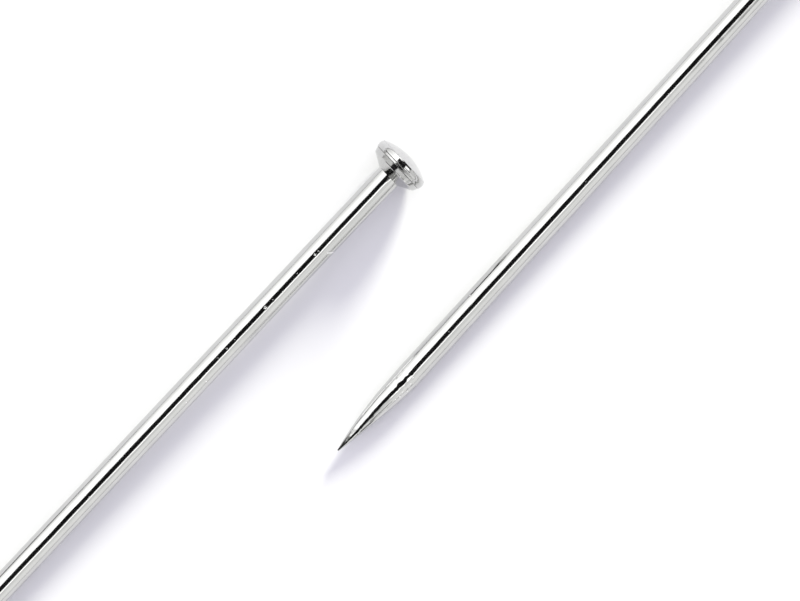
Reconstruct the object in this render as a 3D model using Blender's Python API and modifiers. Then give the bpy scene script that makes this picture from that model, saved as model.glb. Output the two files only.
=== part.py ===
"""Two straight pins lying side by side on a table, the first shown by its head and the second by its point.

A pin is a length of nickel-plated wire with one end ground to a point. Its head is a shallow dome on a cone,
struck a little askew between two dies that leave a step where they meet. Both pins are alike. +Z is up, the
pins rest on z = 0 and +X runs towards their heads.
"""

import math

import bpy

MM = 0.001

# The wire
WIRE_DIAMETER = 0.65 * MM
PIN_LENGTH = 26.0 * MM  # from the crown of the head to the tip
WIRE_END_CHAMFER = 0.04 * MM  # on the end inside the head

# The ground point
POINT_LENGTH = 2.89 * MM  # from the full wire to where its flanks would meet
POINT_FULLNESS = 1.8  # 1 grinds a straight cone, and more leaves a fuller flank
TIP_RADIUS = 0.027 * MM

# The head
HEAD_DIAMETER = 1.54 * MM
RIM_HEIGHT = 0.39 * MM  # of the widest part of the rim, above the neck
CROWN_RISE = 0.334 * MM  # from the widest part of the rim up to the crown
SHOULDER_RISE = 0.11 * MM  # from the widest part of the rim up to the edge of the dome
UPPER_RIM_ROUND = 0.15 * MM  # radius of the rim between its widest part and the dome
LOWER_RIM_ROUND = 0.13 * MM  # radius of the rim between its widest part and the parting line
PARTING_DROP = 0.07 * MM  # from the widest part of the rim down to the parting line of the two dies
PARTING_STEP = 0.02 * MM  # how far the lower die's wall stands in from the rim
WALL_DRAFT = math.radians(2)  # of the lower die's wall, from the axis
UNDER_ROUND = 0.19 * MM  # where that wall rolls over into the cone
UNDER_ANGLE = math.radians(28.5)  # slope of the cone that faces the cloth, from the plane of the rim
HEAD_LEAN = math.radians(3.5)  # how far the head was struck askew
SOCKET_DEPTH = 0.45 * MM  # how far the wire goes into the head
SEAT_CLEARANCE = 0.01 * MM  # all round the wire in the head
NECK_LIP = 0.015 * MM  # width of the rim of the socket at the neck

# How the two pins lie
TIP_BEHIND_NECK = 5.964 * MM  # along the pins, from the first pin's neck back to the second pin's tip
PIN_SPACING = 3.81 * MM  # across the pins, between the same two places
SPLAY = math.radians(0.85)  # the pins close up by this angle towards their heads

# Fineness of the round surfaces
SIDES = 32
DOME_RINGS = 7
RIM_RINGS = 4
FLANK_RINGS = 9
NOSE_RINGS = 3
MERGE_DISTANCE = 0.0001 * MM
CUTTER_OVERRUN = 0.3 * MM  # how far the socket's cutter sticks out below the neck

WIRE_RADIUS = WIRE_DIAMETER / 2
HEAD_RADIUS = HEAD_DIAMETER / 2
SOCKET_RADIUS = WIRE_RADIUS + SEAT_CLEARANCE
NECK_RADIUS = SOCKET_RADIUS + NECK_LIP

HEAD_HEIGHT = RIM_HEIGHT + CROWN_RISE
SHANK_LENGTH = PIN_LENGTH - HEAD_HEIGHT

# The dome is the sphere through the crown and the rim's upper edge.
SHOULDER_ANGLE = math.asin(SHOULDER_RISE / UPPER_RIM_ROUND)
SHOULDER_RADIUS = HEAD_RADIUS - UPPER_RIM_ROUND * (1 - math.cos(SHOULDER_ANGLE))
DOME_RISE = CROWN_RISE - SHOULDER_RISE
DOME_RADIUS = (SHOULDER_RADIUS**2 + DOME_RISE**2) / (2 * DOME_RISE)

# The lower die's wall starts at the foot of the step.
PARTING_ANGLE = math.asin(PARTING_DROP / LOWER_RIM_ROUND)
PARTING_HEIGHT = RIM_HEIGHT - PARTING_DROP
WALL_RADIUS = HEAD_RADIUS - LOWER_RIM_ROUND * (1 - math.cos(PARTING_ANGLE)) - PARTING_STEP

# The tip is a ball that fits between the flanks, so it falls short of where they would meet.
TIP_HALF_ANGLE = math.atan(POINT_FULLNESS * WIRE_RADIUS / POINT_LENGTH)
TIP_SHORTFALL = TIP_RADIUS / math.sin(TIP_HALF_ANGLE) - TIP_RADIUS
POINT_APEX = -SHANK_LENGTH - TIP_SHORTFALL
POINT_START = POINT_APEX + POINT_LENGTH

# A pin lies on its rim and on the last ring of full wire, so its head end is raised. The flat between two
# neighbouring edges of a ring faces down, nearer to the axis than the edges are.
HALF_SIDE = math.pi / SIDES
RIM_SUPPORT = HEAD_RADIUS * math.cos(HALF_SIDE)
WIRE_SUPPORT = WIRE_RADIUS * math.cos(HALF_SIDE)
REST_TILT = math.atan2(RIM_SUPPORT - WIRE_SUPPORT, RIM_HEIGHT * math.cos(HEAD_LEAN) - POINT_START)
NECK_HEIGHT = WIRE_SUPPORT * math.cos(REST_TILT) - POINT_START * math.sin(REST_TILT)

NICKEL = (0.65, 0.65, 0.62, 1.0)
DRAWN_ROUGHNESS = 0.10
STRUCK_ROUGHNESS = 0.14


def clear_scene():
    for old in list(bpy.data.objects):
        bpy.data.objects.remove(old, do_unlink=True)


def new_collection(name):
    collection = bpy.data.collections.new(name)
    bpy.context.scene.collection.children.link(collection)
    return collection


def nickel_plate(name, roughness):
    material = bpy.data.materials.new(name)
    material.use_nodes = True
    shader = material.node_tree.nodes["Principled BSDF"]
    shader.inputs["Base Color"].default_value = NICKEL
    shader.inputs["Metallic"].default_value = 1.0
    shader.inputs["Roughness"].default_value = roughness
    return material


def arc(centre_r, centre_z, radius, first_angle, last_angle, rings):
    """Points of an arc in the (r, z) plane, both ends included, with angles from the r axis."""
    points = []
    for ring in range(rings + 1):
        angle = first_angle + (last_angle - first_angle) * ring / rings
        points.append((centre_r + radius * math.cos(angle), centre_z + radius * math.sin(angle)))
    return points


def under_round():
    """The round between the lower die's wall and the cone, which touches both lines from inside."""
    wall_face = (math.cos(WALL_DRAFT), -math.sin(WALL_DRAFT))
    cone_face = (math.sin(UNDER_ANGLE), -math.cos(UNDER_ANGLE))
    wall_reach = WALL_RADIUS * wall_face[0] + PARTING_HEIGHT * wall_face[1] - UNDER_ROUND
    cone_reach = NECK_RADIUS * cone_face[0] - UNDER_ROUND
    slant = wall_face[0] * cone_face[1] - wall_face[1] * cone_face[0]
    centre_r = (wall_reach * cone_face[1] - cone_reach * wall_face[1]) / slant
    centre_z = (cone_reach * wall_face[0] - wall_reach * cone_face[0]) / slant
    return arc(centre_r, centre_z, UNDER_ROUND, -WALL_DRAFT, UNDER_ANGLE - math.pi / 2, RIM_RINGS)


def head_profile():
    """The head's outer side from the crown down to the neck, with the neck closed across to the axis."""
    crown = (0, HEAD_HEIGHT)
    dome_edge = math.acos(SHOULDER_RADIUS / DOME_RADIUS)
    dome = arc(0, HEAD_HEIGHT - DOME_RADIUS, DOME_RADIUS, math.pi / 2, dome_edge, DOME_RINGS)
    upper_rim_centre = HEAD_RADIUS - UPPER_RIM_ROUND
    upper_rim = arc(upper_rim_centre, RIM_HEIGHT, UPPER_RIM_ROUND, SHOULDER_ANGLE, 0, RIM_RINGS)
    lower_rim_centre = HEAD_RADIUS - LOWER_RIM_ROUND
    lower_rim = arc(lower_rim_centre, RIM_HEIGHT, LOWER_RIM_ROUND, 0, -PARTING_ANGLE, RIM_RINGS)
    wall_top = (WALL_RADIUS, PARTING_HEIGHT)
    neck = (NECK_RADIUS, 0)
    return [crown, *dome[1:], *upper_rim[1:], *lower_rim[1:], wall_top, *under_round(), neck, (0, 0)]


def socket_profile():
    """The room for the wire in the head, carried on below the neck so that it cuts clean through."""
    return [
        (0, SOCKET_DEPTH),
        (SOCKET_RADIUS, SOCKET_DEPTH),
        (SOCKET_RADIUS, -CUTTER_OVERRUN),
        (0, -CUTTER_OVERRUN),
    ]


def shank_profile():
    """The wire's outer side from its end in the head down to the tip."""
    wire_end = SOCKET_DEPTH - SEAT_CLEARANCE
    nose_centre = POINT_APEX + TIP_RADIUS / math.sin(TIP_HALF_ANGLE)
    nose = arc(0, nose_centre, TIP_RADIUS, -TIP_HALF_ANGLE, -math.pi / 2, NOSE_RINGS)
    nose_share = (nose[0][1] - POINT_APEX) / POINT_LENGTH
    flank = []
    for ring in range(FLANK_RINGS):
        share = 1 - (1 - nose_share) * ring / FLANK_RINGS
        radius = WIRE_RADIUS * (1 - (1 - share) ** POINT_FULLNESS)
        flank.append((radius, POINT_APEX + share * POINT_LENGTH))
    return [
        (0, wire_end),
        (WIRE_RADIUS - WIRE_END_CHAMFER, wire_end),
        (WIRE_RADIUS, wire_end - WIRE_END_CHAMFER),
        *flank,
        *nose[:-1],
        (0, nose_centre - TIP_RADIUS),
    ]


def turned(name, profile, collection):
    """A solid turned about its own Z axis, from a profile of (r, z) points that runs from top to bottom."""
    mesh = bpy.data.meshes.new(name)
    points = [(r, 0, z) for r, z in profile]
    edges = [(i, i + 1) for i in range(len(points) - 1)]
    mesh.from_pydata(points, edges, [])
    made = bpy.data.objects.new(name, mesh)
    collection.objects.link(made)
    screw = made.modifiers.new("Turn", "SCREW")
    screw.axis = "Z"
    screw.angle = 2 * math.pi
    screw.steps = SIDES
    screw.render_steps = SIDES
    screw.use_merge_vertices = True
    screw.merge_threshold = MERGE_DISTANCE
    screw.use_smooth_shade = True
    made.rotation_mode = "ZYX"
    made.rotation_euler.z = HALF_SIDE
    return made


def build_pin(side, neck_x, neck_y, yaw, parts, cutters):
    """One pin, hung on an empty at its neck whose Z axis runs up the shank and whose X axis points down."""
    neck = bpy.data.objects.new(f"{side}_pin", None)
    neck.empty_display_size = HEAD_DIAMETER
    neck.location = (neck_x, neck_y, NECK_HEIGHT)
    neck.rotation_euler = (0, math.pi / 2 - REST_TILT, yaw)
    parts.objects.link(neck)

    shank = turned(f"{side}_shank", shank_profile(), parts)
    shank.data.materials.append(nickel_plate(f"{side}_shank_nickel", DRAWN_ROUGHNESS))

    head = turned(f"{side}_head", head_profile(), parts)
    head.data.materials.append(nickel_plate(f"{side}_head_nickel", STRUCK_ROUGHNESS))
    head.rotation_euler.x = HEAD_LEAN

    socket = turned(f"{side}_socket", socket_profile(), cutters)
    socket.hide_render = True
    socket.display_type = "WIRE"
    cut = head.modifiers.new("Socket", "BOOLEAN")
    cut.operation = "DIFFERENCE"
    cut.object = socket

    for piece in (shank, head, socket):
        piece.parent = neck


def main():
    clear_scene()
    parts = new_collection("straight_pins")
    cutters = new_collection("cutters")

    half_splay = SPLAY / 2
    # The pair is centred on the origin between its outer ends along X and between its two heads across.
    ends_apart = SHANK_LENGTH + PIN_LENGTH - TIP_BEHIND_NECK
    left_neck_x = SHANK_LENGTH - ends_apart / 2
    heads_apart = PIN_SPACING - SHANK_LENGTH * math.sin(half_splay)
    right_neck_x = left_neck_x - TIP_BEHIND_NECK + SHANK_LENGTH * math.cos(half_splay)

    build_pin("left", left_neck_x, heads_apart / 2, -half_splay, parts, cutters)
    build_pin("right", right_neck_x, -heads_apart / 2, half_splay, parts, cutters)


main()
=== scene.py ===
# %% [markdown]
# # Two straight pins on a white table
#
# A straight pin is a length of drawn steel wire. One end is struck in a die into a small head, the other is
# ground to a point, and the whole pin is plated with nickel. Two of them lie side by side here, the left one
# shown by its head and the right one by its point.
#
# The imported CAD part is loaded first. It is the fixed frame of this scene: it says where each pin lies and how
# big it is, and every new piece goes exactly where the CAD piece is.

import math

import bpy
import numpy as np
from mathutils import Matrix, Vector


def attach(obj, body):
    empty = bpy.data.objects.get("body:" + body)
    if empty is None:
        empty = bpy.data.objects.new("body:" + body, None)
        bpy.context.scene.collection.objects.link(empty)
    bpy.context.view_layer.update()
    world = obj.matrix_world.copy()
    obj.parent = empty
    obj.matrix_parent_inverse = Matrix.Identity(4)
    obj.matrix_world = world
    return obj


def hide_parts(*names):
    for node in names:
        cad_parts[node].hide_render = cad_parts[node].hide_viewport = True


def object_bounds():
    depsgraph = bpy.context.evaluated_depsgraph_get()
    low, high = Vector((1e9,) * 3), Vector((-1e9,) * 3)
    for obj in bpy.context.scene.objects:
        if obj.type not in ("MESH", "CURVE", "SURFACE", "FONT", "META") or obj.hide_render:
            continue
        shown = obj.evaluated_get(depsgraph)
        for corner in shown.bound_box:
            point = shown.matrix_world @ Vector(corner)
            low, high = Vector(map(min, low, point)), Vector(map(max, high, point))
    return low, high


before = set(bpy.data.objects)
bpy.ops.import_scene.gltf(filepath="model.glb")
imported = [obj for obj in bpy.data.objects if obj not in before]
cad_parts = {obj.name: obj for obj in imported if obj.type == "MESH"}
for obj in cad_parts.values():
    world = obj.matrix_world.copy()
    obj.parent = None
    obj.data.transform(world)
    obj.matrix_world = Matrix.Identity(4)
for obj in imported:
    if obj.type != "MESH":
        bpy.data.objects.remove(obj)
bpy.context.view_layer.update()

MM = 0.001


def in_mm(lengths):
    """Lengths in metres as rounded millimetres, for printing."""
    return [round(length / MM, 3) for length in lengths]


bpy.ops.object.select_all(action="DESELECT")

# %% [markdown]
# ## Where the pins lie
#
# The pieces below are modelled in millimetres round their own upright axis, because drawing on a lathe is easy
# there, and Blender's merge distances suit things of that size. Each finished piece is then laid down where its
# CAD piece lies. The tip of the CAD shank and the middle of its other end give the axis of each pin.

# %% Find the axis of each pin
WIRE_IN_HEAD = 0.44  # how far the wire goes up into the head
END_DEPTH = 0.03  # corners this near to the wire's end belong to it


def corners_of(node):
    """A CAD node's corners in millimetres, each once, one to a row."""
    corners = np.array([vertex.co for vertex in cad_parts[node].data.vertices]) / MM
    return np.unique(corners.round(5), axis=0)


def lie_of(side):
    """How a CAD pin lies: a matrix that lays an upright pin down on it, and the length of its shank.

    The upright pin has its neck at the origin.
    """
    shank = corners_of(f"{side}_shank")
    along_row = shank[:, 0]
    tip = Vector(shank[along_row.argmin()])
    wire_end = Vector(shank[along_row > along_row.max() - END_DEPTH].mean(axis=0))
    up_pin = (wire_end - tip).normalized()
    neck = wire_end - WIRE_IN_HEAD * up_pin
    level = Vector((0, 0, 1)).cross(up_pin).normalized()
    down = level.cross(up_pin)
    turn = Matrix((down, level, up_pin)).transposed().to_4x4()
    lie = Matrix.Scale(MM, 4) @ Matrix.Translation(neck) @ turn
    return lie, (neck - tip).length


left_lie, shank_length = lie_of("left")
right_lie, _ = lie_of("right")
print("left neck in mm:", in_mm(left_lie.translation))
print("right neck in mm:", in_mm(right_lie.translation))
print("shank in mm:", round(shank_length, 3))

# %% [markdown]
# ## The camera
#
# The photograph looks straight down at the table through a long lens, with the pins running up to the right.
# The picture is 20.2 mm wide at the height of the pins. The camera stands 112 mm above them and is turned so
# that the row of pins, which lies along X, climbs at 47 degrees. Blender's clip start has to be far smaller than
# usual here, or everything in front of the lens would be cut away.

# %% Set up the camera
VIEW_MIDDLE = Vector((0.517, -0.529, 0.6))  # of the picture, at the height of the pins, in mm
VIEW_HEIGHT = 112.0
PINS_CLIMB = math.radians(47.18)

camera_data = bpy.data.cameras.new("camera")
camera_data.lens = 200
camera_data.sensor_width = 36
camera_data.clip_start = 0.001
camera_data.clip_end = 10
camera = bpy.data.objects.new("camera", camera_data)
camera.location = (VIEW_MIDDLE + Vector((0, 0, VIEW_HEIGHT))) * MM
camera.rotation_euler = (0, 0, -PINS_CLIMB)
bpy.context.scene.collection.objects.link(camera)
bpy.context.scene.camera = camera
print("camera in mm:", in_mm(camera.location))

# %% [markdown]
# ## Turning on a lathe
#
# Everything on a pin is round, so each piece can be turned: half of its outline is drawn in edit mode, one point
# after another, and spun about the upright axis. A plane squeezed to one vertex is the pencil, and each extrusion
# draws one stroke. After the spin the first and last outline lie on each other, and so do all points on the axis,
# so doubles are merged and the faces are turned outwards.

# %% Helpers for turning
SPIN_STEPS = 128
MERGE_DISTANCE = 0.0001  # in mm


def arc(middle, radius, first_angle, last_angle, strokes):
    """The points (r, z) of an arc, both ends included, with angles from the r axis."""
    angles = np.linspace(first_angle, last_angle, strokes + 1)
    return [(middle[0] + radius * math.cos(a), middle[1] + radius * math.sin(a)) for a in angles]


def draw_outline(name, outline):
    """Draws the outline in the plane y = 0 of a new piece, and leaves it in edit mode."""
    bpy.ops.object.select_all(action="DESELECT")
    bpy.ops.mesh.primitive_plane_add(size=1)
    piece = bpy.context.active_object
    piece.name = name
    piece.data.name = name
    bpy.ops.object.mode_set(mode="EDIT")
    bpy.ops.mesh.select_all(action="SELECT")
    bpy.ops.mesh.merge(type="CENTER")
    bpy.ops.transform.translate(value=(outline[0][0], 0, outline[0][1]))
    for (r, z), (next_r, next_z) in zip(outline, outline[1:]):
        stroke = (next_r - r, 0, next_z - z)
        bpy.ops.mesh.extrude_vertices_move(TRANSFORM_OT_translate={"value": stroke})
    return piece


def spin_outline():
    """Spins the outline in edit mode into a closed skin with its faces outwards."""
    bpy.ops.mesh.select_all(action="SELECT")
    bpy.ops.mesh.spin(steps=SPIN_STEPS, angle=2 * math.pi, center=(0, 0, 0), axis=(0, 0, 1))
    bpy.ops.mesh.select_all(action="SELECT")
    bpy.ops.mesh.remove_doubles(threshold=MERGE_DISTANCE)
    bpy.ops.mesh.normals_make_consistent(inside=False)
    bpy.ops.object.mode_set(mode="OBJECT")


print("lathe:", SPIN_STEPS, "steps to a turn")

# %% [markdown]
# ## The shank
#
# The shank is wire with one end ground to a point. Its flanks bulge a little, because the pin rolls while its tip
# is held to the stone, so they follow a power curve that leaves the wire without an edge. The very tip is a ball
# too small to see.

# %% Work out the point
WIRE_RADIUS = 0.325
POINT_LENGTH = 2.89  # from the full wire to where the flanks would meet
POINT_FULLNESS = 1.8  # 1 is a straight cone, and more is fuller
TIP_RADIUS = 0.027

tip_half_angle = math.atan(POINT_FULLNESS * WIRE_RADIUS / POINT_LENGTH)
ball_to_apex = TIP_RADIUS / math.sin(tip_half_angle)
apex = -shank_length - ball_to_apex + TIP_RADIUS
point_start = apex + POINT_LENGTH
print("point starts at", round(point_start, 3))

# %% [markdown]
# Use leaves marks on the wires, and they are pressed in further below. The outline has to know their heights now,
# because it needs shorter strokes there. The marks of the left pin are measured from its neck, which is in view,
# and those of the right pin from its tip.

# %% Choose the marks of use
def from_tip(marks):
    """Marks given by their heights above the tip, with heights from the neck instead."""
    return tuple((height - shank_length, *rest) for height, *rest in marks)


# Each nick has a height, a turn from the top in degrees, and a size.
LEFT_NICKS = (
    (-2.57, 3, 0.022), (-2.69, 1, 0.028), (-3.35, -1, 0.021), (-4.25, 4, 0.021), (-4.51, 2, 0.036),
    (-5.64, 2, 0.021), (-5.94, 2, 0.024), (-6.27, 1, 0.021),
)
RIGHT_NICKS = from_tip(((4.13, 1, 0.021), (9.24, 2, 0.02)))
# Small rubbed spots have the same three values.
LEFT_RUBS = ((-6.9, 38, 0.018), (-7.63, 38, 0.018), (-11.02, 9, 0.02))
RIGHT_RUBS = from_tip((
    (2.66, 19, 0.022), (2.5, 34, 0.017), (2.3, 52, 0.017), (2.22, 33, 0.018), (2.08, 44, 0.022),
    (1.95, 38, 0.018), (12.27, 8, 0.014),
))
# A scratch has two ends, each a height and a turn.
LEFT_SCRATCH_HEIGHT = -2.4
LEFT_SCRATCH = ((LEFT_SCRATCH_HEIGHT - 0.06, 42), (LEFT_SCRATCH_HEIGHT + 0.07, 76))
RIGHT_SCRATCH = from_tip(((6.27, -42.5), (5.16, -42.5)))

marks = (*LEFT_NICKS, *RIGHT_NICKS, *LEFT_RUBS, *RIGHT_RUBS, *RIGHT_SCRATCH)
marked_heights = [mark[0] for mark in marks] + [LEFT_SCRATCH_HEIGHT]
print("marks:", len(marked_heights))

# %% [markdown]
# The outline goes from the wire's end inside the head, down the straight wire, along the flank and round the tip.

# %% Draw and spin the shank
WIRE_END_CHAMFER = 0.04
WIRE_STROKE = 0.1  # length of one stroke along the straight wire
MARK_STROKES = 5  # in the place of one stroke, near a mark
LEAST_STROKE = 0.01  # before the start of the point
FLANK_STROKES = 110
TIP_STROKES = 8


def wire_stops(top):
    """The heights of the strokes along the straight wire, from the top down."""
    stops = np.linspace(top, point_start, round((top - point_start) / WIRE_STROKE) + 1)
    steps = range(1 - MARK_STROKES, MARK_STROKES)
    close_stops = [mark + step * WIRE_STROKE / MARK_STROKES for mark in marked_heights for step in steps]
    stops = np.unique(np.concatenate([stops, close_stops]).round(2))
    return [stop for stop in stops[::-1] if point_start + LEAST_STROKE < stop < top]


def shank_outline():
    """From the wire's end in the head to the tip."""
    wire_end = [(0, WIRE_IN_HEAD), (WIRE_RADIUS - WIRE_END_CHAMFER, WIRE_IN_HEAD)]
    top = WIRE_IN_HEAD - WIRE_END_CHAMFER
    wire = [(WIRE_RADIUS, stop) for stop in (top, *wire_stops(top), point_start)]
    tip_middle = apex + ball_to_apex
    tip = arc((0, tip_middle), TIP_RADIUS, -tip_half_angle, -math.pi / 2, TIP_STROKES)
    tip[-1] = (0, tip_middle - TIP_RADIUS)
    first_share = (tip[0][1] - apex) / POINT_LENGTH
    flank = []
    for share in np.linspace(1, first_share, FLANK_STROKES + 1)[1:-1]:
        flank.append((WIRE_RADIUS * (1 - (1 - share) ** POINT_FULLNESS), apex + share * POINT_LENGTH))
    return wire_end + wire + flank + tip


shank = draw_outline("left_pin_shank", shank_outline())
spin_outline()
print("shank:", len(shank.data.polygons), "faces")

# %% [markdown]
# Where the stone first bites, the real wire is scuffed: a ring of small dents and burrs that breaks the
# reflections. A Displace modifier pushes them into the mesh by cloud noise, and only acts on a band of vertices.
# The rest of the wire is not perfectly straight either, so a much gentler and longer wave is pushed into all of it
# below the head.

# %% Scuff the start of the point and wave the wire
SCUFF_BAND = 0.5  # half the width of the scuffed ring
SCUFF_MIDDLE = 0.35  # of the ring, below the start of the point
SCUFF_SIZE = 0.07
SCUFF_DEPTH = 0.016
WAVE_SIZE = 0.4
WAVE_DEPTH = 0.005
NECK_FADE = 0.1  # the waves fade in over this length
LEAST_WEIGHT = 0.001
CLOUD_MIDDLE = 0.6  # the cloud's value that leaves the skin where it is


def places(piece):
    """The corners of a piece, one to a row."""
    return np.array([vertex.co for vertex in piece.data.vertices])


def push(piece, name, weights, strength, **settings):
    """Pushes the active piece's skin outwards by this much, times the weight of each corner."""
    group = piece.vertex_groups.new(name=name)
    for index in np.flatnonzero(weights > LEAST_WEIGHT):
        group.add([int(index)], float(weights[index]), "REPLACE")
    modifier = piece.modifiers.new(name, "DISPLACE")
    modifier.vertex_group = name
    modifier.strength = strength
    modifier.mid_level = 0.0
    for setting, value in settings.items():
        setattr(modifier, setting, value)
    bpy.ops.object.modifier_apply(modifier=name)


def roughen(piece, name, weights, size, depth):
    """Pushes the skin in and out by cloud noise of this grain size and depth."""
    clouds = bpy.data.textures.new(name, "CLOUDS")
    clouds.noise_scale = size
    clouds.noise_depth = 2
    push(piece, name, weights, depth, texture=clouds, texture_coords="LOCAL", mid_level=CLOUD_MIDDLE)


heights = places(shank)[:, 2]
scuff_weights = np.clip(1 - np.abs(heights - (point_start - SCUFF_MIDDLE)) / SCUFF_BAND, 0, 1)
roughen(shank, "stone_scuffs", scuff_weights, SCUFF_SIZE, SCUFF_DEPTH)
roughen(shank, "wire_waves", np.clip(-heights / NECK_FADE, 0, 1), WAVE_SIZE, WAVE_DEPTH)
print("scuffed corners:", int((scuff_weights > 0).sum()))

# %% [markdown]
# ## The head
#
# A head is struck between two dies: the lower one holds the wire and makes the cone, the upper one makes the dome,
# a rounded rim and a short band below it. Where the dies meet, they leave a fine seam, and the metal steps in. The
# sizes below come first, in the order of the outline: from the crown over the dome and round the rim to the seam,
# down the lower die's short wall and along the cone to the wire, and up into the socket that the wire sits in.

# %% Work out the head
HEAD_RADIUS = 0.77
RIM_HEIGHT = 0.42  # of the widest part of the rim, above the neck
CROWN_RISE = 0.304  # from the widest part of the rim up to the crown
SHOULDER_RISE = 0.128  # from the widest part of the rim up to the edge of the dome
UPPER_RIM_ROUND = 0.185
LOWER_RIM_ROUND = 0.1
RIM_TURN_IN = math.radians(24)  # how far the rim turns in below its widest part
BAND_DRAFT = math.radians(6)  # of the band between the rim and the line where the dies meet
PARTING_HEIGHT = 0.325  # of that line, above the neck
PARTING_STEP = 0.02
SEAM_DEPTH = 0.03
SEAM_WIDTH = 0.014
WALL_DRAFT = math.radians(21)
UNDER_ROUND = 0.08  # where the wall rolls over into the cone
UNDER_ANGLE = math.radians(28.5)  # of the cone, from the plane of the rim
CONE_START = 0.35  # radius of the cone at the height of the neck
SOCKET_RADIUS = 0.329
SOCKET_DEPTH = 0.45

head_height = RIM_HEIGHT + CROWN_RISE
shoulder_angle = math.asin(SHOULDER_RISE / UPPER_RIM_ROUND)
shoulder = (HEAD_RADIUS - UPPER_RIM_ROUND * (1 - math.cos(shoulder_angle)), RIM_HEIGHT + SHOULDER_RISE)
band_top = (
    HEAD_RADIUS - LOWER_RIM_ROUND * (1 - math.cos(RIM_TURN_IN)),
    RIM_HEIGHT - LOWER_RIM_ROUND * math.sin(RIM_TURN_IN),
)
parting = (band_top[0] - (band_top[1] - PARTING_HEIGHT) * math.tan(BAND_DRAFT), PARTING_HEIGHT)
print("head:", round(head_height, 3), "mm high, dies meet at", [round(x, 3) for x in parting])

# %% [markdown]
# The upper half of the outline is four curves that run into each other, and the lower half is a seam, two straight
# flanks and the round between them, whose middle lies at the same distance from both flanks.

# %% Draw and spin the head
DOME_STROKES = 24
UPPER_RIM_STROKES = 18
LOWER_RIM_STROKES = 5
BAND_STROKES = 5
WALL_STROKES = 4
UNDER_STROKES = 14
CONE_STROKES = 8


def straight(start, end, strokes):
    """The points of a straight line, without its end."""
    return [tuple(Vector(start).lerp(Vector(end), s)) for s in np.linspace(0, 1, strokes + 1)[:-1]]


def dome_and_rim():
    """From the crown over the dome to its edge, round the rim and down the band to the parting line."""
    dome_rise = head_height - shoulder[1]
    dome_radius = (shoulder[0] ** 2 + dome_rise**2) / (2 * dome_rise)
    dome_edge = math.acos(shoulder[0] / dome_radius)
    dome = arc((0, head_height - dome_radius), dome_radius, math.pi / 2, dome_edge, DOME_STROKES)
    dome[0] = (0, head_height)
    upper_middle = (HEAD_RADIUS - UPPER_RIM_ROUND, RIM_HEIGHT)
    upper = arc(upper_middle, UPPER_RIM_ROUND, shoulder_angle, 0, UPPER_RIM_STROKES)
    lower_middle = (HEAD_RADIUS - LOWER_RIM_ROUND, RIM_HEIGHT)
    lower = arc(lower_middle, LOWER_RIM_ROUND, 0, -RIM_TURN_IN, LOWER_RIM_STROKES)
    return dome + upper[1:] + lower[1:] + straight(band_top, parting, BAND_STROKES)[1:] + [parting]


def wall_and_cone():
    """From the seam over the step, down the wall, round into the cone and along it to the wire."""
    seam = (parting[0] - SEAM_DEPTH, parting[1] - SEAM_WIDTH / 2)
    wall_top = Vector((parting[0] - PARTING_STEP, parting[1] - SEAM_WIDTH))
    wall_face = Vector((math.cos(WALL_DRAFT), -math.sin(WALL_DRAFT)))
    cone_face = Vector((math.sin(UNDER_ANGLE), -math.cos(UNDER_ANGLE)))
    wall_reach = wall_top.dot(wall_face) - UNDER_ROUND
    cone_reach = Vector((CONE_START, 0)).dot(cone_face) - UNDER_ROUND
    middle = Matrix((wall_face, cone_face)).inverted() @ Vector((wall_reach, cone_reach))
    turn = arc(middle, UNDER_ROUND, -WALL_DRAFT, UNDER_ANGLE - math.pi / 2, UNDER_STROKES)
    wall = straight(wall_top, turn[0], WALL_STROKES)
    foot = (SOCKET_RADIUS, (SOCKET_RADIUS - CONE_START) * math.tan(UNDER_ANGLE))
    cone = straight(turn[-1], foot, CONE_STROKES)[1:] + [foot]
    return [seam] + wall + turn + cone


socket = [(SOCKET_RADIUS, SOCKET_DEPTH), (0, SOCKET_DEPTH)]
head = draw_outline("left_pin_head", dome_and_rim() + wall_and_cone() + socket)
spin_outline()
print("head:", len(head.data.polygons), "faces")

# %% [markdown]
# No edge on a struck and tumbled pin is knife-sharp. The ring where the dome meets the rim and the one over the
# step are picked by their place and bevelled.

# %% Round the two edges
SHOULDER_BEVEL = 0.022
STEP_BEVEL = 0.006
NEAR = 0.001  # how far off its place a corner may be


def pick(piece, test):
    """Goes into edit mode with just the corners selected that pass the test."""
    bpy.ops.object.mode_set(mode="EDIT")
    bpy.ops.mesh.select_all(action="DESELECT")
    bpy.ops.mesh.select_mode(type="VERT")
    bpy.ops.object.mode_set(mode="OBJECT")
    for vertex in piece.data.vertices:
        vertex.select = test(vertex.co)
    bpy.ops.object.mode_set(mode="EDIT")


def bevel_ring(piece, ring, width, segments):
    """Rounds off the edge ring at this radius and height."""
    radius, height = ring
    pick(piece, lambda corner: abs(corner.xy.length - radius) < NEAR and abs(corner.z - height) < NEAR)
    bpy.ops.mesh.bevel(offset=width, segments=segments, affect="EDGES")
    bpy.ops.object.mode_set(mode="OBJECT")


bevel_ring(head, shoulder, SHOULDER_BEVEL, 5)
bevel_ring(head, parting, STEP_BEVEL, 3)
print("head:", len(head.data.polygons), "faces after bevelling")

# %% [markdown]
# This head was struck a little askew. Its outside leans to one side on the neck, while the socket stays in line
# with the wire. The outside is picked by its place and turned about the neck.

# %% Lean the head
HEAD_LEAN = math.radians(3.5)


def outside(corner):
    """Whether a corner is anywhere but at the bottom of the socket."""
    in_socket = abs(corner.z - SOCKET_DEPTH) < NEAR and corner.xy.length < SOCKET_RADIUS + NEAR
    return not in_socket


pick(head, outside)
bpy.ops.transform.rotate(value=-HEAD_LEAN, orient_axis="X", center_override=(0, 0, 0))
bpy.ops.object.mode_set(mode="OBJECT")
crown = max(head.data.vertices, key=lambda vertex: vertex.co.z)
print("highest corner after leaning:", [round(x, 3) for x in crown.co])

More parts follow.
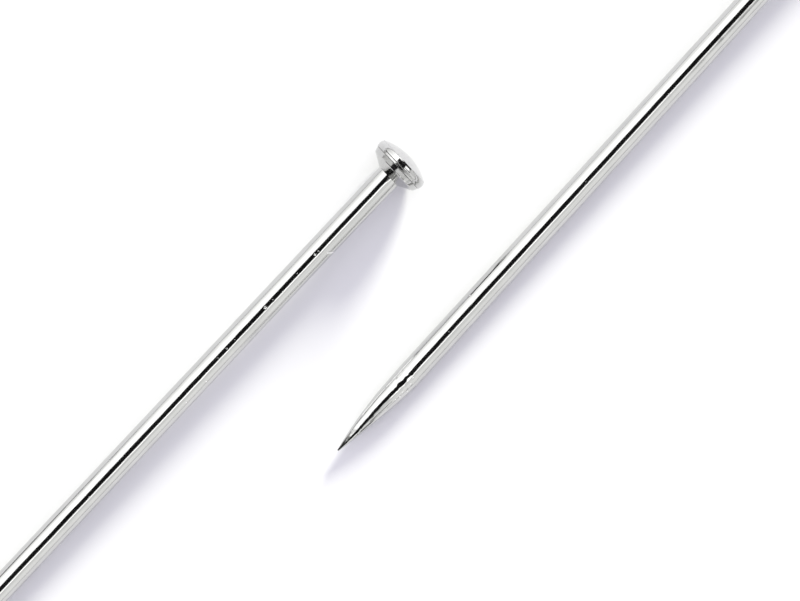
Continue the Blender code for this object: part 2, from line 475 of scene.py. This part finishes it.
# %% [markdown]
# A die is polished by hand and wears with every blow, so the skin that it strikes waves a little. The same noise
# as on the wire does it, a few thousandths of a millimetre deep.

# %% Wave the struck skin
DIE_MARK_SIZE = 0.35
DIE_MARK_DEPTH = 0.006

head_weights = np.clip(places(head)[:, 2] / NECK_FADE, 0, 1)
roughen(head, "die_marks", head_weights, DIE_MARK_SIZE, DIE_MARK_DEPTH)
print("waved corners:", int((head_weights > 0).sum()))

# %% [markdown]
# ## The second pin
#
# Both pins are alike, so the second pair of pieces is copied, each with its own mesh. The copied shank is rolled
# about its axis, so that it doesn't show the same waves in the same places.

# %% Copy the pieces
RIGHT_ROLL = math.radians(115)


def make_active(piece):
    """Selects this piece alone and makes it the one that operators work on."""
    bpy.ops.object.select_all(action="DESELECT")
    piece.select_set(True)
    bpy.context.view_layer.objects.active = piece


def copy_of(piece, name):
    """A copy with its own mesh, which is then the active piece."""
    make_active(piece)
    bpy.ops.object.duplicate(linked=False)
    copied = bpy.context.active_object
    copied.name = name
    copied.data.name = name
    return copied


right_head = copy_of(head, "right_pin_head")
right_shank = copy_of(shank, "right_pin_shank")
right_shank.rotation_euler.z = RIGHT_ROLL
bpy.ops.object.transform_apply(location=False, rotation=True, scale=False)
print("copied:", right_shank.name, right_head.name)

# %% [markdown]
# ## Marks of use
#
# Pins rub and knock against each other in their tin. Each has its own nicks, which show as white specks in the
# dark line along its top, and a scratch. A mark is a short line on the wire, and the wire is pressed in along it.

# %% Helpers for pressing marks in
NICK_DEPTH = 0.5  # of its size
NICK_SLANT = 2  # degrees from one end of a nick to the other


def along_mark(piece, start, end, half_width):
    """How near each corner is to a line on the wire, from 1 on the line to 0.

    The ends of the line are heights and turns.
    """
    corners = places(piece)
    round_wire = WIRE_RADIUS * np.arctan2(-corners[:, 1], -corners[:, 0])
    spots = np.stack([corners[:, 2], round_wire], axis=1)
    first, last = [np.array((height, WIRE_RADIUS * math.radians(turn))) for height, turn in (start, end)]
    run = last - first
    share = np.clip((spots - first) @ run / (run @ run), 0, 1)
    distance = np.linalg.norm(spots - first - share[:, None] * run, axis=1)
    return np.clip(1 - (distance / half_width) ** 2, 0, 1) ** 2


def press(piece, name, ends, half_width, depth):
    """Presses the active piece's skin in along a line."""
    push(piece, name, along_mark(piece, *ends, half_width), -depth)


def nick_all(piece, nicks):
    """Makes the piece active and presses its nicks in."""
    make_active(piece)
    for number, (height, turn, size) in enumerate(nicks):
        ends = ((height, turn), (height - size, turn + NICK_SLANT))
        press(piece, f"nick_{number}", ends, size, NICK_DEPTH * size)


print("a nick is pressed in by", NICK_DEPTH, "of its size")

# %% [markdown]
# The left pin has most of the nicks. It also has a short scratch across its side, and a flat spot at the neck where
# the lower die gripped the wire.

# %% Mark the left wire
LEFT_SCRATCH_WIDTH = 0.024  # from its middle line to its edge, as are the other widths
LEFT_SCRATCH_DEPTH = 0.008
GRIP_MARK = ((0.02, 10), (-0.05, 9))
GRIP_MARK_WIDTH = 0.1
GRIP_MARK_DEPTH = 0.01

nick_all(shank, LEFT_NICKS)
press(shank, "scratch", LEFT_SCRATCH, LEFT_SCRATCH_WIDTH, LEFT_SCRATCH_DEPTH)
press(shank, "grip_mark", GRIP_MARK, GRIP_MARK_WIDTH, GRIP_MARK_DEPTH)
print("left wire:", len(LEFT_NICKS), "nicks, a scratch and a grip mark")

# %% [markdown]
# The right pin has a long scratch along its side, and the stone left fine lines along its point.

# %% Mark the right wire
LINE_WIDTH = 0.012
LINE_DEPTH = 0.008
RIGHT_SCRATCH_DEPTH = 0.017
POINT_LINES = (  # two ends each, as heights above the tip and turns from the top
    ((1.85, 30.6), (1.1, 30.6)), ((1.6, 39.1), (0.65, 39.1)), ((1.3, 47.5), (0.5, 47.5)),
    ((3.1, -45.3), (1.9, -45.3)), ((2.0, -48.1), (1.1, -48.1)),
)

nick_all(right_shank, RIGHT_NICKS)
press(right_shank, "scratch", RIGHT_SCRATCH, LINE_WIDTH, RIGHT_SCRATCH_DEPTH)
for number, ends in enumerate(POINT_LINES):
    press(right_shank, f"ground_line_{number}", from_tip(ends), LINE_WIDTH, LINE_DEPTH)
print("right wire:", len(RIGHT_NICKS), "nicks, a scratch and", len(POINT_LINES), "ground lines")

# %% [markdown]
# Where the plate is freshly rubbed it scatters the light and looks white, so how far each corner is rubbed is kept
# in an attribute for the finish. The bottom of the left pin's scratch is rubbed too.

# %% Rub the wires
RUBBED_SCRATCH_WIDTH = 0.03


def rub(piece, spots, *lines):
    """Keeps how far each corner is rubbed, in the spots and along the lines."""
    spot_lines = [
        ((height, turn), (height - size / 2, turn + NICK_SLANT), size) for height, turn, size in spots
    ]
    rubbed = np.zeros(len(piece.data.vertices))
    for start, end, half_width in (*spot_lines, *lines):
        rubbed = np.maximum(rubbed, along_mark(piece, start, end, half_width))
    kept = piece.data.attributes.new("rubbed", "FLOAT", "POINT")
    kept.data.foreach_set("value", rubbed)
    print(piece.name, "has", int((rubbed > 0).sum()), "rubbed corners")


rub(shank, LEFT_RUBS, (*LEFT_SCRATCH, RUBBED_SCRATCH_WIDTH))
rub(right_shank, RIGHT_RUBS)

# %% [markdown]
# The right pin's point was held a little askew to the stone, so its tip is off the middle of the wire. A Displace
# modifier that only moves along Y shifts the point sideways, more and more towards the tip.

# %% Set the right pin's point off centre
POINT_SHIFT = 0.045
SHIFT_STARTS = 2.75  # above the tip
SHIFT_ENDS = 0.8

tip_heights = places(right_shank)[:, 2] + shank_length
shares = np.clip((SHIFT_STARTS - tip_heights) / (SHIFT_STARTS - SHIFT_ENDS), 0, 1)
push(right_shank, "point_shift", shares * shares * (3 - 2 * shares), POINT_SHIFT, direction="Y")
tip_corner = min(right_shank.data.vertices, key=lambda vertex: vertex.co.z)
print("tip of the right pin:", [round(x, 3) for x in tip_corner.co])

# %% [markdown]
# ## Laying the pins down
#
# Before a piece is laid down, its upright place is stored in an attribute, so that the finish can run along the
# wire wherever the pin lies.

# %% Lay the pieces in their places
SMOOTH_UP_TO = math.radians(40)  # between two faces


def lay_down(piece, lie):
    """Keeps the upright place of each corner as an attribute, and puts the piece in its place on the table."""
    upright = piece.data.attributes.new("upright_place", "FLOAT_VECTOR", "POINT")
    for vertex in piece.data.vertices:
        upright.data[vertex.index].vector = vertex.co
    make_active(piece)
    piece.vertex_groups.clear()
    bpy.ops.object.shade_smooth_by_angle(angle=SMOOTH_UP_TO)
    piece.matrix_world = lie
    bpy.ops.object.transform_apply(location=True, rotation=True, scale=True)
    print(piece.name, in_mm(piece.dimensions))


lay_down(shank, left_lie)
lay_down(head, left_lie)
lay_down(right_shank, right_lie)
lay_down(right_head, right_lie)

# %% [markdown]
# ## Nickel plate
#
# Bright nickel is a nearly white metal with a faint warm green in it. A finish is a small network of nodes, and a
# few helpers keep it short: one adds any node with its values and links, the others add the kinds used most.

# %% Helpers for nodes
def add(tree, kind, settings=None, **sockets):
    """A node with its settings and the values or links of its sockets.

    A socket goes by its name, with _ for a space, or by its number, as in _0.
    """
    node = tree.nodes.new(kind)
    for key, value in (settings or {}).items():
        setattr(node, key, value)
    for key, value in sockets.items():
        socket = node.inputs[int(key[1:])] if key[1:].isdigit() else node.inputs[key.replace("_", " ")]
        if isinstance(value, bpy.types.NodeSocket):
            tree.links.new(value, socket)
        else:
            socket.default_value = value
    return node


def maths(tree, operation, first, second):
    """Two values, or links, worked out into one."""
    return add(tree, "ShaderNodeMath", {"operation": operation}, _0=first, _1=second).outputs[0]


def ramp(tree, value, low, high, low_out, high_out):
    """Goes from low_out to high_out while the value goes from low to high, smoothly at both ends."""
    return add(
        tree, "ShaderNodeMapRange", {"interpolation_type": "SMOOTHSTEP"},
        Value=value, _1=low, _2=high, _3=low_out, _4=high_out,
    ).outputs[0]


def blend(tree, share, first, second, blend_type="MIX"):
    """The first colour, changed by the second one as far as the share says."""
    settings = {"data_type": "RGBA", "blend_type": blend_type}
    return add(tree, "ShaderNodeMix", settings, _0=share, _6=first, _7=second).outputs[2]


def noise(tree, place, scale, detail):
    """Even noise in space."""
    return add(tree, "ShaderNodeTexNoise", Vector=place, Scale=scale, Detail=detail).outputs[0]


print("helpers: add, maths, ramp, blend and noise")

# %% [markdown]
# Both finishes start from plain metal, read the upright place of each corner, are dulled in clouds and have small
# pits in scattered patches. The pits are spots of a Voronoi pattern. Pits and lines are far too fine for the mesh,
# so they are bumps in the finish.

# %% Helpers for the nickel
PIT_STRENGTH = 0.8
PIT_DEPTH = 3e-6  # in metres


def new_finish(name):
    """A bare metal, its tree of nodes and its shader, and a link to the upright place of each corner."""
    finish = bpy.data.materials.new(name)
    finish.use_nodes = True
    tree = finish.node_tree
    shader = tree.nodes["Principled BSDF"]
    shader.inputs["Metallic"].default_value = 1.0
    place = add(tree, "ShaderNodeAttribute", {"attribute_name": "upright_place"}).outputs["Vector"]
    return finish, tree, shader, place


def pits(tree, place, scale, size):
    """1 in small scattered spots, 0 elsewhere."""
    spots = add(tree, "ShaderNodeTexVoronoi", Vector=place, Scale=scale).outputs["Distance"]
    near = ramp(tree, spots, 0, size, 1, 0)
    patches = ramp(tree, noise(tree, place, 1.1, 2), 0.5, 0.62, 0, 1)
    return maths(tree, "MULTIPLY", near, patches)


def bumps(tree, lines, strength, depth, spots):
    """A normal that is raised along the lines, by a depth in metres, and pressed in at the spots."""
    raised = add(tree, "ShaderNodeBump", Strength=strength, Distance=depth, Height=lines)
    pitted = add(
        tree, "ShaderNodeBump", {"invert": True},
        Strength=PIT_STRENGTH, Distance=PIT_DEPTH, Height=spots, Normal=raised.outputs[0],
    )
    return pitted.outputs[0]


def give_finish(finish, *pieces):
    """Makes this the only finish of the pieces."""
    for piece in pieces:
        piece.data.materials.clear()
        piece.data.materials.append(finish)
    print("finish:", finish.name, len(finish.node_tree.nodes), "nodes")


print("pits:", PIT_DEPTH / MM, "mm deep")

# %% [markdown]
# The plate on the wire is thin, so the marks of the drawing die show through as fine lines along it. Noise that is
# drawn out along the pin gives these lines. They dull the colour and the gloss, and raise the skin a little.

# %% The drawn wire's finish
NICKEL = (0.605, 0.606, 0.594, 1.0)
NICKEL_DULL = (0.535, 0.537, 0.527, 1.0)
RUBBED_NICKEL = (0.95, 0.95, 0.94, 1.0)
LINE_STRETCH = 110  # how much longer than wide the drawn lines are
LINE_SCALE = 26
LINE_BUMP = 1.2e-6  # in metres
POINT_POLISH = 0.02  # how much smoother the ground point is than the wire
RUBBED_ROUGHNESS = 0.35  # on top of the wire's own

wire_finish, tree, shader, place = new_finish("drawn_nickel")
drawn_out = add(tree, "ShaderNodeMapping", Vector=place, Scale=(1, 1, 1 / LINE_STRETCH)).outputs[0]
lines = noise(tree, drawn_out, LINE_SCALE, 3)
cloudy = ramp(tree, noise(tree, place, 1.6, 4), 0.4, 0.75, 0, 0.6)
dull = maths(tree, "MAXIMUM", cloudy, ramp(tree, lines, 0.5, 0.68, 0, 1))
rubbed = add(tree, "ShaderNodeAttribute", {"attribute_name": "rubbed"}).outputs["Fac"]
rubbed = ramp(tree, rubbed, 0.05, 0.5, 0, 1)
tone = blend(tree, rubbed, blend(tree, dull, NICKEL, NICKEL_DULL), RUBBED_NICKEL)
tree.links.new(tone, shader.inputs["Base Color"])

height = add(tree, "ShaderNodeSeparateXYZ", Vector=place).outputs["Z"]
on_point = ramp(tree, height, point_start - 0.3, point_start + 0.1, 1, 0)
roughness = ramp(tree, lines, 0.3, 0.7, 0.07, 0.13)
roughness = maths(tree, "SUBTRACT", roughness, maths(tree, "MULTIPLY", on_point, POINT_POLISH))
roughness = maths(tree, "ADD", roughness, maths(tree, "MULTIPLY", rubbed, RUBBED_ROUGHNESS))
tree.links.new(roughness, shader.inputs["Roughness"])

line_strength = maths(tree, "ADD", maths(tree, "MULTIPLY", on_point, 0.1), 0.25)
bumpy = bumps(tree, lines, line_strength, LINE_BUMP, pits(tree, place, 5, 0.12))
tree.links.new(bumpy, shader.inputs["Normal"])
give_finish(wire_finish, shank, right_shank)

# %% [markdown]
# The head isn't drawn but struck, so its grain has no direction. The cone is painted a darker tone than the dome:
# painted shade for the dim table that the cone mirrors below the head.

# %% The struck head's finish
# Painted light and shade: a lighter tone for the dome and a darker one for the cone, not two finishes of the metal.
LIT_DOME_NICKEL = (0.68, 0.681, 0.672, 1.0)
SHADED_CONE_NICKEL = (0.545, 0.546, 0.537, 1.0)
HEAD_DULLING = (0.86, 0.86, 0.86, 1.0)
DOME_EDGE = RIM_HEIGHT + SHOULDER_RISE + 0.01  # the painted lighter tone of the dome is full from here up
GRAIN_SCALE = 14
GRAIN_BUMP = 0.6e-6  # in metres

head_finish, tree, shader, place = new_finish("struck_nickel")
grain = noise(tree, place, GRAIN_SCALE, 4)
cloudy = ramp(tree, noise(tree, place, 2.4, 5), 0.4, 0.75, 0, 0.6)
dull = maths(tree, "MAXIMUM", cloudy, ramp(tree, grain, 0.5, 0.7, 0, 1))
height = add(tree, "ShaderNodeSeparateXYZ", Vector=place).outputs["Z"]
lit_dome_share = ramp(tree, height, PARTING_HEIGHT, DOME_EDGE, 0, 1)
# Painted shade: the cone is given a darker tone than the dome, for the dim table that it mirrors under the head.
tone = blend(tree, dull, blend(tree, lit_dome_share, SHADED_CONE_NICKEL, LIT_DOME_NICKEL), HEAD_DULLING, "MULTIPLY")
tree.links.new(tone, shader.inputs["Base Color"])
tree.links.new(ramp(tree, grain, 0.3, 0.7, 0.08, 0.17), shader.inputs["Roughness"])
bumpy = bumps(tree, grain, 0.4, GRAIN_BUMP, pits(tree, place, 6, 0.14))
tree.links.new(bumpy, shader.inputs["Normal"])
give_finish(head_finish, head, right_head)

# %% [markdown]
# ## The table and its shadow
#
# The pins lie on plain white paper, which is only part of the stage.

# %% Lay the paper
PAPER_HALF = 400  # half its side, in mm
PAPER_WHITE = (0.85, 0.85, 0.85, 1)

paper_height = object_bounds()[0].z
bpy.ops.object.select_all(action="DESELECT")
bpy.ops.mesh.primitive_plane_add(size=2 * PAPER_HALF * MM, location=(0, 0, paper_height))
paper = bpy.context.active_object
paper.name = "paper"
paper_finish = bpy.data.materials.new("white_paper")
paper_finish.use_nodes = True
paper_shader = paper_finish.node_tree.nodes["Principled BSDF"]
paper_shader.inputs["Base Color"].default_value = PAPER_WHITE
paper_shader.inputs["Roughness"].default_value = 1.0
paper_shader.inputs["Specular IOR Level"].default_value = 0.0
paper.data.materials.append(paper_finish)
print("paper at", round(paper_height / MM, 4), "mm")

# %% [markdown]
# The light that casts the shadows comes low from the upper right of the picture and is 14 degrees across, so the
# shadows are soft and fall well to the lower left. The metal doesn't mirror this light.

# %% Set the low light
LIGHT_ROUND = math.radians(15.5)  # from the pins' heads towards the left pin
LIGHT_CLIMB = math.radians(16.4)
LIGHT_WIDTH = math.radians(14)
LIGHT_STRENGTH = 5.3
LIGHT_TINT = (0.98, 1.0, 0.86)

low_light_data = bpy.data.lights.new("low_light", "SUN")
low_light_data.energy = LIGHT_STRENGTH
low_light_data.angle = LIGHT_WIDTH
low_light_data.color = LIGHT_TINT
low_light = bpy.data.objects.new("low_light", low_light_data)
from_light = Vector((
    -math.cos(LIGHT_CLIMB) * math.cos(LIGHT_ROUND),
    -math.cos(LIGHT_CLIMB) * math.sin(LIGHT_ROUND),
    -math.sin(LIGHT_CLIMB),
))
low_light.rotation_euler = from_light.to_track_quat("-Z", "Y").to_euler()
low_light.visible_glossy = False
bpy.context.scene.collection.objects.link(low_light)
print("light comes from", [round(-x, 2) for x in from_light])

# %% [markdown]
# ## The tent
#
# Bright metal shows nothing but its surroundings, so what stands round the pins makes most of the picture: a white
# tent with a bright roof, and a dark slit in it, along the pins, that the lens looks through. The world is painted
# by direction. The lens looks straight down, so a spot of metal mirrors the direction that its own face halves
# with straight up. It is therefore handy to paint by two angles of that face: how far it is turned round the pins,
# from straight up towards the right pin, and how far it leans along them, towards the heads.

# %% Measure the angles of the face that mirrors each direction
DEGREES = 180 / math.pi

world = bpy.data.worlds.new("tent")
world.use_nodes = True
bpy.context.scene.world = world
tree = world.node_tree
tree.nodes.clear()
direction = add(tree, "ShaderNodeTexCoord").outputs["Generated"]
face = add(tree, "ShaderNodeVectorMath", {"operation": "ADD"}, _0=direction, _1=(0, 0, 1)).outputs[0]
face = add(tree, "ShaderNodeVectorMath", {"operation": "NORMALIZE"}, _0=face).outputs[0]
face_parts = add(tree, "ShaderNodeSeparateXYZ", Vector=face).outputs
direction_parts = add(tree, "ShaderNodeSeparateXYZ", Vector=direction).outputs


def in_degrees(angle):
    """An angle in radians as degrees."""
    return maths(tree, "MULTIPLY", angle, DEGREES)


across = maths(tree, "MULTIPLY", face_parts["Y"], -1.0)
turned = in_degrees(maths(tree, "ARCTAN2", across, face_parts["Z"]))
leaned = in_degrees(maths(tree, "ARCSINE", face_parts["X"], 0.0))
climb = in_degrees(maths(tree, "ARCSINE", direction_parts["Z"], 0.0))
print("angles: turned and leaned of the face, climb of the direction itself")

# %% [markdown]
# The roof is brightest left of the slit and falls off towards the walls. A colour ramp holds its brightness against
# the angle round the pins.

# %% Paint the roof
BRIGHT = 2.0
ROOF = (  # the face's turn in degrees, and the brightness that it mirrors
    (-90, 0.95), (-47, 0.97), (-41, 1.15), (-36, 1.31), (-31, 1.54), (-26, 1.82), (-21, BRIGHT),
    (7.5, BRIGHT), (8, 0.92), (18, 0.94), (23, 1.03), (28, 1.16), (34, 1.19), (40, 1.12), (44, 0.97),
    (90, 0.95),
)

share = add(tree, "ShaderNodeMapRange", Value=turned, _1=-90.0, _2=90.0, _3=0.0, _4=1.0).outputs[0]
roof_ramp = add(tree, "ShaderNodeValToRGB", Fac=share)
stops = roof_ramp.color_ramp.elements
while len(stops) > 1:
    stops.remove(stops[-1])
for number, (degrees, level) in enumerate(ROOF):
    where = (degrees + 90) / 180
    stop = stops[0] if number == 0 else stops.new(where)
    stop.position = where
    stop.color = (level / BRIGHT, level / BRIGHT, level / BRIGHT, 1)
roof = maths(tree, "MULTIPLY", roof_ramp.outputs[0], BRIGHT)
print("roof:", len(stops), "stops")

# %% [markdown]
# The rest is painted over it in patches, each a window between two angles with soft edges. The roof ends behind the
# points, where the wall of the tent begins, and it is duller on both sides beyond the heads.

# %% Paint the wall and dull the roof
WALL = 0.95
DULLER = 0.74  # times the roof's brightness
ROOF_END = -11.5


def window(angle, low, high, soft=0.5):
    """1 between the two angles and 0 outside, with soft edges. Nodes may work the two angles out."""
    opened = ramp(tree, maths(tree, "SUBTRACT", angle, low), -soft, soft, 0, 1)
    closed = ramp(tree, maths(tree, "SUBTRACT", angle, high), -soft, soft, 1, 0)
    return maths(tree, "MULTIPLY", opened, closed)


def paint(under, level, *windows):
    """The brightness under, changed to level where all the windows are 1."""
    mask = windows[0]
    for other in windows[1:]:
        mask = maths(tree, "MULTIPLY", mask, other)
    return add(tree, "ShaderNodeMix", {"data_type": "FLOAT"}, _0=mask, _2=under, _3=level).outputs[0]


level = paint(WALL, roof, window(leaned, ROOF_END, 90))
dull_roof = maths(tree, "MULTIPLY", roof, DULLER)
beyond_heads = window(leaned, 5, 90, 1)
level = paint(level, dull_roof, window(turned, -60, -18, 5), beyond_heads)
level = paint(level, dull_roof, window(turned, 21, 60, 1), beyond_heads)
print("tent with its wall:", len(tree.nodes), "nodes")

# %% [markdown]
# A white strip hangs beside the slit. It is wider towards the heads, with a dark thread across it there.

# %% Paint the strip
DARK = 0.008

level = paint(level, BRIGHT, window(turned, 5, 14.8, 0.4), window(leaned, -6.5, 22))
level = paint(level, BRIGHT, window(turned, 5, 20.5, 0.4), window(leaned, 7, 22))
level = paint(level, DARK, window(turned, 9, 25, 0.4), window(leaned, 2.5, 7))
print("tent with its strip:", len(tree.nodes), "nodes")

# %% [markdown]
# The roof ends in a dark hem. The slit is dark as well: it runs along the pins, and behind the points it swings to
# the right and opens out.

# %% Paint the hem and the slit
HEM = 0.04
SWING = (-12.5, -7)  # the leans between which the slit swings

level = paint(level, HEM, window(turned, -43, 10, 2), window(leaned, -18, ROOF_END))
slit_left = ramp(tree, leaned, *SWING, 4, -8.7)
slit_right = ramp(tree, leaned, *SWING, 32, 10)
level = paint(level, DARK, window(turned, slit_left, slit_right, 0.35), window(leaned, -15, 30))
print("tent with its slit:", len(tree.nodes), "nodes")

# %% [markdown]
# Low behind the points stands a dark door with two bright seams. The wires hardly mirror it by themselves, but the
# cone under the head mirrors the wire, and with it the door.

# %% Paint the door
DOOR_TOP = -24.5
DOOR_PANEL = 0.6
WIDE_SEAM = 1.8
NARROW_SEAM = 1.6

door = window(leaned, -45, DOOR_TOP)
upper_door = window(leaned, -36, DOOR_TOP)
level = paint(level, DOOR_PANEL, window(turned, 0, 24), door)
level = paint(level, DARK, window(turned, 23, 39), upper_door)
level = paint(level, WIDE_SEAM, window(turned, 27, 35), upper_door)
level = paint(level, DARK, window(turned, 13.5, 20, 0.4), door)
level = paint(level, NARROW_SEAM, window(turned, 15, 18.5, 0.4), door)
# The dark left half of the door, and the wall above and below it.
level = paint(level, DARK, window(turned, -30, 2.5), upper_door)
level = paint(level, DARK, window(turned, -13, 1), window(leaned, -25, -17))
level = paint(level, DARK, window(turned, -14, 2.5), window(leaned, -60, -31))
print("tent with its door:", len(tree.nodes), "nodes")

# %% [markdown]
# Beyond the heads the tent has a dark mouth. Where it meets the table runs a grey line, the foot of the tent, which
# is darker in two places on the left: beside the shank and beyond the head.

# %% Paint the mouth and the foot of the tent
FOOT = 0.5
FOOT_BY_SHANK = 0.25
FOOT_BY_HEAD = 0.3

level = paint(level, DARK, window(turned, 1, 25), window(leaned, 22, 60, 0.7))
level = paint(level, FOOT, window(climb, -4, 4, 0.8), window(leaned, -10, 90, 2))
by_shank = window(climb, -5, 13, 1), window(turned, -60, -30, 2), window(leaned, -14, -3.5)
level = paint(level, FOOT_BY_SHANK, *by_shank)
by_head = window(climb, -3, 6, 1), window(turned, -52, -16, 2), window(leaned, 10, 90, 2)
level = paint(level, FOOT_BY_HEAD, *by_head)
print("tent with its foot:", len(tree.nodes), "nodes")

# %% [markdown]
# Only the mirror of the metal sees that painting. The table is lit by the even light of the room, a little violet,
# which fills the shadows, and the lens itself sees plain white past the table's edge.

# %% Share the world out between mirrored, scattered and direct rays
ROOM_FILL = (0.86, 0.845, 0.945, 1.0)
PLAIN_WHITE = (1, 1, 1, 1)

light_path = add(tree, "ShaderNodeLightPath").outputs
mirrored_or_room = blend(tree, light_path["Is Glossy Ray"], ROOM_FILL, level)
seen = blend(tree, light_path["Is Camera Ray"], mirrored_or_room, PLAIN_WHITE)
background = add(tree, "ShaderNodeBackground", Color=seen, Strength=1.0)
output = add(tree, "ShaderNodeOutputWorld")
tree.links.new(background.outputs[0], output.inputs["Surface"])
bpy.context.scene.view_settings.view_transform = "Standard"
print("world:", len(tree.nodes), "nodes")

# %% [markdown]
# ## Tie the pieces to their CAD nodes
#
# Each piece stands for one CAD node and moves with that node's body, and the CAD node itself is hidden.

# %% Say what each piece stands for
for side, side_shank, side_head in (("left", shank, head), ("right", right_shank, right_head)):
    for piece, node, slot in ((side_shank, "shank", "shank_nickel"), (side_head, "head", "head_nickel")):
        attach(piece, f"{side}_pin")
        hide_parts(f"{side}_{node}")
